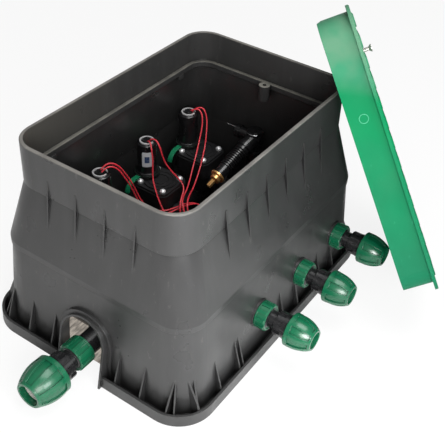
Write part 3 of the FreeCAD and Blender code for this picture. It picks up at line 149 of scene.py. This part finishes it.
class Look:
    """A material under construction: a Principled shader and the nodes that feed it."""

    def __init__(self, name, colour, roughness, metallic=0.0, specular=0.5):
        self.material = bpy.data.materials.new(name)
        self.material.use_nodes = True
        self.tree = self.material.node_tree
        self.shader = self.tree.nodes["Principled BSDF"]
        self.shader.inputs["Base Color"].default_value = (*colour, 1)
        self.shader.inputs["Roughness"].default_value = roughness
        self.shader.inputs["Metallic"].default_value = metallic
        self.shader.inputs["Specular IOR Level"].default_value = specular
        self.colour = None
        self.rgb = colour
        self.roughness = roughness
        self.place = self.add("ShaderNodeTexCoord").outputs["Object"]
        self.normal = None

    def add(self, kind, **settings):
        node = self.tree.nodes.new(kind)
        for key, value in settings.items():
            setattr(node, key, value)
        return node

    def link(self, source, target):
        self.tree.links.new(source, target)

    def noise(self, scale, detail=3.0, stretch=(1, 1, 1), rough=0.5):
        """Noise from 0 to 1 in the object's own space, scale in cycles per metre."""
        mapping = self.add("ShaderNodeMapping")
        mapping.inputs["Scale"].default_value = stretch
        self.link(self.place, mapping.inputs["Vector"])
        node = self.add("ShaderNodeTexNoise")
        node.inputs["Scale"].default_value = scale
        node.inputs["Detail"].default_value = detail
        node.inputs["Roughness"].default_value = rough
        self.link(mapping.outputs["Vector"], node.inputs["Vector"])
        return node.outputs["Fac"]

    def span(self, source, low, high, to_low=0.0, to_high=1.0):
        node = self.add("ShaderNodeMapRange")
        for socket, value in (("From Min", low), ("From Max", high),
                              ("To Min", to_low), ("To Max", to_high)):
            node.inputs[socket].default_value = value
        self.link(source, node.inputs["Value"])
        return node.outputs["Result"]

    def size_of(self, source):
        node = self.add("ShaderNodeMath", operation="ABSOLUTE")
        self.link(source, node.inputs[0])
        return node.outputs["Value"]

    def product(self, sources):
        whole = sources[0]
        for source in sources[1:]:
            node = self.add("ShaderNodeMath", operation="MULTIPLY")
            self.link(whole, node.inputs[0])
            self.link(source, node.inputs[1])
            whole = node.outputs["Value"]
        return whole

    def blend(self, share, colour):
        """Mixes colour over what there is, by share."""
        node = self.add("ShaderNodeMix", data_type="RGBA")
        if self.colour is None:
            node.inputs["A"].default_value = (*self.rgb, 1)
        else:
            self.link(self.colour, node.inputs["A"])
        node.inputs["B"].default_value = (*colour, 1)
        self.link(share, node.inputs["Factor"])
        self.colour = node.outputs["Result"]

    def soft_edges(self, radius):
        """Rounds the look of edges, and returns where the edges are."""
        bevel = self.add("ShaderNodeBevel", samples=4)
        bevel.inputs["Radius"].default_value = radius
        self.normal = bevel.outputs["Normal"]
        dot = self.add("ShaderNodeVectorMath", operation="DOT_PRODUCT")
        self.link(bevel.outputs["Normal"], dot.inputs[0])
        self.link(self.add("ShaderNodeNewGeometry").outputs["Normal"], dot.inputs[1])
        return self.span(dot.outputs["Value"], 0.995, 0.80)

    def bump(self, height, strength, distance):
        node = self.add("ShaderNodeBump")
        node.inputs["Strength"].default_value = strength
        node.inputs["Distance"].default_value = distance
        self.link(height, node.inputs["Height"])
        if self.normal is not None:
            self.link(self.normal, node.inputs["Normal"])
        self.normal = node.outputs["Normal"]

    def uneven_gloss(self, source, spread):
        self.link(self.span(source, 0.3, 0.7, self.roughness - spread, self.roughness + spread),
                  self.shader.inputs["Roughness"])

    def done(self):
        if self.colour is not None:
            self.link(self.colour, self.shader.inputs["Base Color"])
        if self.normal is not None:
            self.link(self.normal, self.shader.inputs["Normal"])
        return self.material


def shade(colour, factor):
    return tuple(min(1.0, c * factor) for c in colour)


def plastic(name, colour, roughness, edge_colour, edge=0.0006, grain=0.12, streaks=0.0, specular=0.5,
            worn=0.5, coat=0.0, corner_shade=0.0, extra=None):
    """Moulded plastic: fine grain, slow tone changes, flow streaks and paler worn edges.

    The corner-shade argument is how far painted shade darkens the colour in corners, and extra may add to
    the look before its edges.
    """
    look = Look(name, colour, roughness, specular=specular)
    edges = look.soft_edges(edge)
    look.blend(look.span(look.noise(14, 4), 0.35, 0.75, 0, 0.55), shade(colour, 0.72))
    if streaks:
        look.blend(look.span(look.noise(60, 3, (1, 1, 0.06)), 0.45, 0.75, 0, streaks), shade(colour, 1.45))
    scuffs = look.span(look.noise(170, 5, (1, 1, 0.35), 0.65), 0.63, 0.74, 0, 0.30)
    look.blend(scuffs, edge_colour)
    patchy = look.product([edges, look.span(look.noise(90, 3), 0.30, 0.62, 0.35 * worn, worn)])
    look.blend(patchy, edge_colour)
    if extra:
        extra(look)
    # Painted shade: the colour darkens in corners and creases, where ambient occlusion finds them.
    if corner_shade:
        corner = look.add("ShaderNodeAmbientOcclusion", samples=4, only_local=True)
        corner.inputs["Distance"].default_value = 0.016
        look.blend(look.span(corner.outputs["AO"], 0.85, 0.45, 0, corner_shade), shade(colour, 0.12))
    look.uneven_gloss(look.noise(22, 4), 0.07)
    look.bump(look.noise(1600, 2), grain, 0.00012)
    look.bump(look.noise(32, 2), 0.10, 0.0012)
    look.shader.inputs["Coat Weight"].default_value = coat
    return look.done()


def metal(name, colour, roughness, dull, brushed=(1, 1, 1), spread=0.06, metallic=1.0):
    """Machined metal: fine tool marks, a duller film in places."""
    look = Look(name, colour, roughness, metallic=metallic)
    look.soft_edges(0.0003)
    look.blend(look.span(look.noise(240, 4), 0.45, 0.72, 0, 0.6), dull)
    look.uneven_gloss(look.noise(500, 3), spread)
    look.bump(look.noise(2600, 2, brushed), 0.10, 0.00006)
    return look.done()


def rubber(name, colour, roughness):
    look = Look(name, colour, roughness, specular=0.35)
    look.blend(look.span(look.noise(120, 3), 0.4, 0.7, 0, 0.5), shade(colour, 1.6))
    look.bump(look.noise(2200, 2), 0.2, 0.0001)
    return look.done()


def insulation(name, colour):
    """Smooth extruded insulation with faint smudges along its length."""
    look = Look(name, colour, 0.34, specular=0.5)
    look.blend(look.span(look.noise(70, 4), 0.5, 0.75, 0, 0.5), shade(colour, 0.62))
    look.blend(look.span(look.noise(320, 3), 0.60, 0.75, 0, 0.25), (0.80, 0.30, 0.28))
    look.uneven_gloss(look.noise(120, 3), 0.08)
    look.bump(look.noise(900, 2), 0.06, 0.0001)
    look.shader.inputs["Coat Weight"].default_value = 0.15
    return look.done()


LID_RING = (0.1236, -0.2040, 0.3219)  # middle of the ring moulded in the lid's long side


def lid_painted_light_and_shade(look):
    """Painted light and shade on the lid: paler and greyer at its raised end as painted light, purest about
    its moulded ring, darker at its low end as painted shade, and a painted highlight round the ring.
    """
    split = look.add("ShaderNodeSeparateXYZ")
    look.link(look.place, split.inputs["Vector"])
    height = split.outputs["Z"]
    # Painted shade: darker towards the low end.
    look.blend(look.span(height, 0.27, 0.05, 0, 0.9), (0.014, 0.125, 0.072))
    # Painted tone: a purer green band about the moulded ring, for how light falls there.
    look.blend(look.product([look.span(height, 0.285, 0.305), look.span(height, 0.368, 0.350, 0, 0.75)]),
               (0.0005, 0.215, 0.076))
    # Painted light: paler towards the raised end, with greyer noisy patches.
    look.blend(look.span(height, 0.348, 0.375, 0, 0.42), (0.10, 0.34, 0.215))
    look.blend(look.product([look.span(height, 0.350, 0.380),
                             look.span(look.noise(16, 3), 0.42, 0.62, 0, 0.5)]),
               (0.165, 0.270, 0.185))
    # Painted highlight: a thin pale circle round the moulded ring.
    reach = look.add("ShaderNodeVectorMath", operation="DISTANCE")
    look.link(look.place, reach.inputs[0])
    reach.inputs[1].default_value = LID_RING
    ring_highlight = look.product([look.span(reach.outputs["Value"], 0.0056, 0.0061),
                           look.span(reach.outputs["Value"], 0.0072, 0.0067, 0, 0.75)])
    look.blend(ring_highlight, (0.11, 0.52, 0.30))


def dark_ring(centre):
    """The lever's ring about its solenoid is near black, and its arm green."""
    def add_to(look):
        across = look.add("ShaderNodeVectorMath", operation="MULTIPLY")
        look.link(look.place, across.inputs[0])
        across.inputs[1].default_value = (1, 1, 0)
        reach = look.add("ShaderNodeVectorMath", operation="DISTANCE")
        look.link(across.outputs["Vector"], reach.inputs[0])
        reach.inputs[1].default_value = (centre[0], centre[1], 0)
        look.blend(look.span(reach.outputs["Value"], 0.0245, 0.0225), (0.012, 0.016, 0.014))
    return add_to


LEDGE = 0.270  # height of the ledge that the lid's skirt meets


def box_painted_light_and_shade(look):
    """Painted light and shade on the box: a painted highlight along its top edge and on its ledge, painted
    light on the inner wall above the ledge, and painted shade on the fin flanks.
    """
    split = look.add("ShaderNodeSeparateXYZ")
    look.link(look.place, split.inputs["Vector"])
    # Painted highlight: a pale mottled band along the top edge of the rim.
    rim_highlight = look.product([look.span(split.outputs["Z"], 0.3182, 0.3196),
                           look.span(look.noise(30, 4), 0.30, 0.65, 0.5, 1.0)])
    look.blend(rim_highlight, (0.195, 0.186, 0.172))
    # Painted shade: the flanks of the fins near black.
    look.blend(fin_sides(look, split), (0.006, 0.006, 0.007))
    normal = look.add("ShaderNodeNewGeometry").outputs["True Normal"]
    inward = look.add("ShaderNodeVectorMath", operation="DOT_PRODUCT")
    look.link(look.place, inward.inputs[0])
    look.link(normal, inward.inputs[1])
    facing = look.add("ShaderNodeSeparateXYZ")
    look.link(normal, facing.inputs["Vector"])
    # Painted light: the inner wall above the ledge paler, most towards -X.
    lit_above_ledge = look.product([look.span(inward.outputs["Value"], -0.02, -0.06),
                                look.span(split.outputs["Z"], LEDGE - 0.003, LEDGE + 0.003, 0, 0.85),
                                look.span(split.outputs["X"], 0.02, -0.18, 0.08, 1)])
    look.blend(lit_above_ledge, (0.056, 0.053, 0.047))
    # Painted highlight: a pale mottled line on the upward faces of the ledge.
    ledge_highlight = look.product([look.span(facing.outputs["Z"], 0.4, 0.7),
                             look.span(split.outputs["Z"], LEDGE - 0.003, LEDGE - 0.001),
                             look.span(split.outputs["Z"], LEDGE + 0.003, LEDGE + 0.001),
                             look.span(look.noise(40, 4), 0.3, 0.6, 0.45, 0.9)])
    look.blend(ledge_highlight, (0.26, 0.25, 0.22))


FIN_ROWS = (("X", 0.150, "Y", 0.135), ("Y", 0.095, "X", 0.205))  # axis along a wall, reach, axis out, start


def fin_sides(look, place):
    """Where the flanks of the fins are, for their painted shade: walls that face along the wall they stand
    on.
    """
    facing = look.add("ShaderNodeSeparateXYZ")
    look.link(look.add("ShaderNodeNewGeometry").outputs["True Normal"], facing.inputs["Vector"])
    shares = []
    for along, reach, across, out in FIN_ROWS:
        parts = [look.span(look.size_of(place.outputs[along]), reach + 0.002, reach),
                 look.span(look.size_of(facing.outputs[along]), 0.45, 0.65),
                 look.span(look.size_of(place.outputs[across]), out, out + 0.001)]
        shares.append(look.product(parts))
    both = look.add("ShaderNodeMath", operation="ADD")
    look.link(shares[0], both.inputs[0])
    look.link(shares[1], both.inputs[1])
    return look.product([both.outputs["Value"], look.span(place.outputs["Z"], 0.193, 0.196, 0, 0.9)])


BOX = plastic("box_plastic", (0.034, 0.034, 0.0345), 0.33, (0.17, 0.165, 0.155), edge=0.0011, streaks=0.4,
              worn=0.22, corner_shade=0.9, extra=box_painted_light_and_shade)
LID = plastic("lid_plastic", (0.001, 0.190, 0.074), 0.50, (0.05, 0.37, 0.20), edge=0.0009, streaks=0.12,
              specular=0.07, worn=0.6, extra=lid_painted_light_and_shade)
GREEN = plastic("fitting_green", (0.003, 0.106, 0.046), 0.31, (0.04, 0.30, 0.17), edge=0.0008, worn=0.5,
                coat=0.2, corner_shade=0.5)
BLACK = plastic("fitting_black", (0.011, 0.011, 0.012), 0.25, (0.09, 0.09, 0.09), edge=0.0006, worn=0.5,
                coat=0.2)
PIPE = plastic("pipe_black", (0.014, 0.014, 0.015), 0.38, (0.08, 0.08, 0.08), edge=0.0005, grain=0.08)
VALVE = plastic("valve_black", (0.013, 0.013, 0.014), 0.45, (0.09, 0.09, 0.09), edge=0.0005, grain=0.22)
COIL = plastic("coil_black", (0.009, 0.009, 0.010), 0.26, (0.08, 0.08, 0.08), edge=0.0006, grain=0.06,
               coat=0.3)
WHITE = plastic("grip_white", (0.62, 0.62, 0.58), 0.42, (0.75, 0.75, 0.72), edge=0.0004, worn=0.3)
BRASS = metal("brass", (0.92, 0.54, 0.20), 0.30, (0.70, 0.30, 0.11), (1, 1, 6), metallic=0.72)
CHROME = metal("bright_steel", (0.78, 0.78, 0.80), 0.16, (0.50, 0.50, 0.52))
RING = metal("coil_ring", (0.86, 0.86, 0.87), 0.30, (0.62, 0.62, 0.63), metallic=0.45)
STEEL = metal("stainless", (0.52, 0.50, 0.47), 0.33, (0.30, 0.28, 0.26), (1, 1, 5), metallic=0.6)
SEAL = rubber("seal_rubber", (0.018, 0.018, 0.019), 0.6)
RED = insulation("lead_red", (0.74, 0.040, 0.060))


def looks_of(node):
    """The material of a CAD node."""
    if node == "valve_box":
        return BOX
    if node == "lid":
        return LID
    if node in ("lid_bolt", "lid_bolt_clip"):
        return STEEL
    if "nut" in node:
        return GREEN
    if node.startswith("bleed_lever"):
        low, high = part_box(node.replace("bleed_lever", "solenoid_ring"))
        return plastic(f"lever_green_{node[-1]}", (0.010, 0.190, 0.085), 0.24, (0.15, 0.55, 0.33),
                       edge=0.0005, worn=0.6, coat=0.3, extra=dark_ring((low + high) / 2))
    if "grip_ring" in node:
        return WHITE
    if node.startswith("valve_"):
        return VALVE
    if node.startswith("solenoid_ring") or node == "bonnet_screws":
        return RING
    if node == "wire_clips":
        return CHROME
    if node.startswith("solenoid"):
        return COIL
    if node == "brass_plug":
        return BRASS
    if "spring" in node or node.startswith("plunger"):
        return CHROME
    if node.startswith("diaphragm") or "seal" in node:
        return SEAL
    if node == "outlet_pipes":
        return PIPE
    return BLACK


for node, piece in NODES.items():
    piece.data.materials.clear()
    piece.data.materials.append(looks_of(node))
    for face in piece.data.polygons:
        face.material_index = 0
for piece in leads:
    piece.data.materials.append(RED)


# ---------------------------------------------------------------- springs as pieces of their own

def spring_coil(node):
    """The node's spring as a piece of its own: a copy of its mesh, attached to the box."""
    cad = NODES[node]
    coil = bpy.data.objects.new(f"{node}_coil", cad.data.copy())
    bpy.context.scene.collection.objects.link(coil)
    coil.matrix_world = cad.matrix_world.copy()
    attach(coil, ROOT)
    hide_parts(node)
    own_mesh(coil)


for valve in (1, 2, 3):
    spring_coil(f"diaphragm_spring_{valve}")
    spring_coil(f"plunger_spring_{valve}")


# ---------------------------------------------------------------- label of the middle coil

def coil_label(name, centre, radius, bottom, width, height, facing, material):
    """A thin plate with rounded corners, bent round a coil whose axis is upright."""
    thick, corner, steps = 0.0004, 0.0018, 24
    half = width / 2
    columns = [half - width * k / steps for k in range(steps + 1)]

    def reach(u):
        """Half the plate's height at u, with its rounded corners."""
        over = abs(u) - (half - corner)
        drop = corner - math.sqrt(max(0.0, corner ** 2 - over ** 2)) if over > 0 else 0.0
        return height / 2 - drop

    points, faces = [], []
    for u in columns:
        angle = facing + u / radius
        for r in (radius, radius + thick):
            for side in (-1, 1):
                points.append((centre[0] + r * math.cos(angle), centre[1] + r * math.sin(angle),
                               bottom + height / 2 + side * reach(u)))
    for k in range(steps):
        a, b = 4 * k, 4 * (k + 1)
        faces += [(a, a + 1, b + 1, b), (a + 2, b + 2, b + 3, a + 3),
                  (a, b, b + 2, a + 2), (a + 1, a + 3, b + 3, b + 1)]
    faces += [(0, 2, 3, 1), (4 * steps, 4 * steps + 1, 4 * steps + 3, 4 * steps + 2)]
    mesh = bpy.data.meshes.new(name)
    mesh.from_pydata(points, [], faces)
    mesh.materials.append(material)
    for face in mesh.polygons:
        face.use_smooth = False
    piece = bpy.data.objects.new(name, mesh)
    bpy.context.scene.collection.objects.link(piece)
    return piece


PATCH_HALF_WIDE, PATCH_HALF_HIGH = 0.0042, 0.0062


def label_look(centre, facing, middle):
    """White film with a plain dark blue patch in its middle."""
    look = Look("label_film", (0.66, 0.68, 0.71), 0.35)
    masks = []
    for axis, at, half in (((-math.sin(facing), math.cos(facing), 0), 0.0, PATCH_HALF_WIDE),
                           ((0, 0, 1), middle, PATCH_HALF_HIGH)):
        offset = look.add("ShaderNodeVectorMath", operation="SUBTRACT")
        look.link(look.place, offset.inputs[0])
        offset.inputs[1].default_value = (centre[0], centre[1], at)
        along = look.add("ShaderNodeVectorMath", operation="DOT_PRODUCT")
        look.link(offset.outputs["Vector"], along.inputs[0])
        along.inputs[1].default_value = axis
        masks.append(look.span(look.size_of(along.outputs["Value"]), half, half - 0.0006))
    look.blend(look.product(masks), (0.020, 0.055, 0.160))
    look.blend(look.span(look.noise(300, 4), 0.55, 0.72, 0, 0.3), (0.45, 0.46, 0.47))
    look.uneven_gloss(look.noise(90, 3), 0.08)
    return look.done()


COIL_RADIUS = 0.016
LABEL_LOW, LABEL_WIDE, LABEL_HIGH = 0.146, 0.0165, 0.0275
LABEL_FACES = math.radians(219)
ring_low, ring_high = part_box("solenoid_ring_2")
coil_centre = ((ring_low.x + ring_high.x) / 2, (ring_low.y + ring_high.y) / 2)
label = coil_label("coil_label", coil_centre, COIL_RADIUS, LABEL_LOW, LABEL_WIDE, LABEL_HIGH, LABEL_FACES,
                   label_look(coil_centre, LABEL_FACES, LABEL_LOW + LABEL_HIGH / 2))
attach(label, ROOT)


# ---------------------------------------------------------------- floor, backdrop and light

FLOOR_WHITE = 0.86  # share of plain white in the floor as the camera sees it; the rest keeps its shadow


def floor_look():
    """A pale floor that reads white and keeps part of the object's shadow."""
    material = bpy.data.materials.new("floor")
    material.use_nodes = True
    tree = material.node_tree
    shader = tree.nodes["Principled BSDF"]
    shader.inputs["Base Color"].default_value = (0.86, 0.86, 0.86, 1)
    shader.inputs["Roughness"].default_value = 0.9
    shader.inputs["Specular IOR Level"].default_value = 0.1
    white = tree.nodes.new("ShaderNodeEmission")
    white.inputs["Color"].default_value = (1, 1, 1, 1)
    white.inputs["Strength"].default_value = 1
    seen = tree.nodes.new("ShaderNodeLightPath")
    share = tree.nodes.new("ShaderNodeMath")
    share.operation = "MULTIPLY"
    share.inputs[1].default_value = FLOOR_WHITE
    mix = tree.nodes.new("ShaderNodeMixShader")
    tree.links.new(seen.outputs["Is Camera Ray"], share.inputs[0])
    tree.links.new(share.outputs[0], mix.inputs["Fac"])
    tree.links.new(shader.outputs["BSDF"], mix.inputs[1])
    tree.links.new(white.outputs["Emission"], mix.inputs[2])
    tree.links.new(mix.outputs["Shader"], tree.nodes["Material Output"].inputs["Surface"])
    return material


def plane(name, low, high, z, material):
    mesh = bpy.data.meshes.new(name)
    corners = [(low[0], low[1], z), (high[0], low[1], z), (high[0], high[1], z), (low[0], high[1], z)]
    mesh.from_pydata(corners, [], [(0, 1, 2, 3)])
    mesh.materials.append(material)
    piece = bpy.data.objects.new(name, mesh)
    bpy.context.scene.collection.objects.link(piece)
    return piece


def inside_shade_look():
    """A dark mottled sheet of painted shade inside the box, with a painted pool of light, streaked and
    glowing, where daylight comes in through the arch.
    """
    low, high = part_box("inlet_ring_nut")
    # Painted shade: a dark sheet where the inside of the box lies in shade.
    look = Look("painted_shade_inside", (0.020, 0.019, 0.018), 0.9, specular=0.2)
    look.blend(look.span(look.noise(180, 5), 0.4, 0.7), (0.045, 0.042, 0.038))
    reach = look.add("ShaderNodeVectorMath", operation="DISTANCE")
    look.link(look.place, reach.inputs[0])
    reach.inputs[1].default_value = (-0.208, (low.y + high.y) / 2 + 0.045, 0)
    near_arch = look.span(reach.outputs["Value"], 0.085, 0.045)
    # Painted light: a pale streaked pool near the arch that also glows.
    painted_light_patch = look.product([near_arch, look.span(look.noise(60, 5, (1, 4, 1)), 0.35, 0.6, 0.35, 1)])
    look.blend(painted_light_patch, (0.40, 0.35, 0.30))
    look.shader.inputs["Emission Color"].default_value = (1, 0.90, 0.79, 1)
    look.link(look.span(painted_light_patch, 0, 1, 0, 0.36), look.shader.inputs["Emission Strength"])
    look.bump(look.noise(260, 4), 0.5, 0.004)
    return look.done()


plane("floor", (-14, -14), (14, 14), -0.0006, floor_look())
# A dark sheet of painted shade inside the box's footprint.
plane("shade_sheet_inside", (-0.226, -0.172), (0.240, 0.172), -0.0002, inside_shade_look())


def soft_light(name, place, target, width, height, watts, colour=(1, 1, 1)):
    light = bpy.data.lights.new(name, "AREA")
    light.shape = "RECTANGLE"
    light.size, light.size_y = width, height
    light.energy = watts
    light.color = colour
    lamp = bpy.data.objects.new(name, light)
    lamp.location = place
    lamp.rotation_mode = "QUATERNION"
    lamp.rotation_quaternion = (Vector(target) - Vector(place)).to_track_quat("-Z", "Y")
    lamp.visible_camera = False
    bpy.context.scene.collection.objects.link(lamp)


soft_light("key", (-0.95, -0.85, 0.80), (-0.20, -0.15, 0.15), 0.6, 0.6, 13, (1, 0.985, 0.955))
soft_light("front", (-0.38, -0.60, 0.42), (-0.22, -0.17, 0.17), 0.26, 0.24, 3.2, (0.97, 0.985, 1))
soft_light("top", (0.15, -0.45, 2.1), (0, 0.1, 0.25), 1.2, 1.2, 27)
soft_light("lid", (1.3, -1.9, 1.3), (0.25, -0.2, 0.25), 0.8, 0.8, 1.5)

ROOM_LIGHT = 0.29  # strength of the even light of the room; the camera itself sees plain white


def white_room():
    world = bpy.data.worlds.new("world")
    bpy.context.scene.world = world
    world.use_nodes = True
    tree = world.node_tree
    tree.nodes.clear()
    path = tree.nodes.new("ShaderNodeLightPath")
    seen = tree.nodes.new("ShaderNodeMath")
    seen.operation = "MAXIMUM"
    strength = tree.nodes.new("ShaderNodeMapRange")
    strength.inputs["To Min"].default_value = ROOM_LIGHT
    strength.inputs["To Max"].default_value = 1.0
    glow = tree.nodes.new("ShaderNodeBackground")
    glow.inputs["Color"].default_value = (1, 1, 1, 1)
    out = tree.nodes.new("ShaderNodeOutputWorld")
    tree.links.new(path.outputs["Is Camera Ray"], seen.inputs[0])
    tree.links.new(path.outputs["Is Transmission Ray"], seen.inputs[1])
    tree.links.new(seen.outputs[0], strength.inputs["Value"])
    tree.links.new(strength.outputs["Result"], glow.inputs["Strength"])
    tree.links.new(glow.outputs["Background"], out.inputs["Surface"])


white_room()
bpy.context.scene.view_settings.view_transform = "Standard"
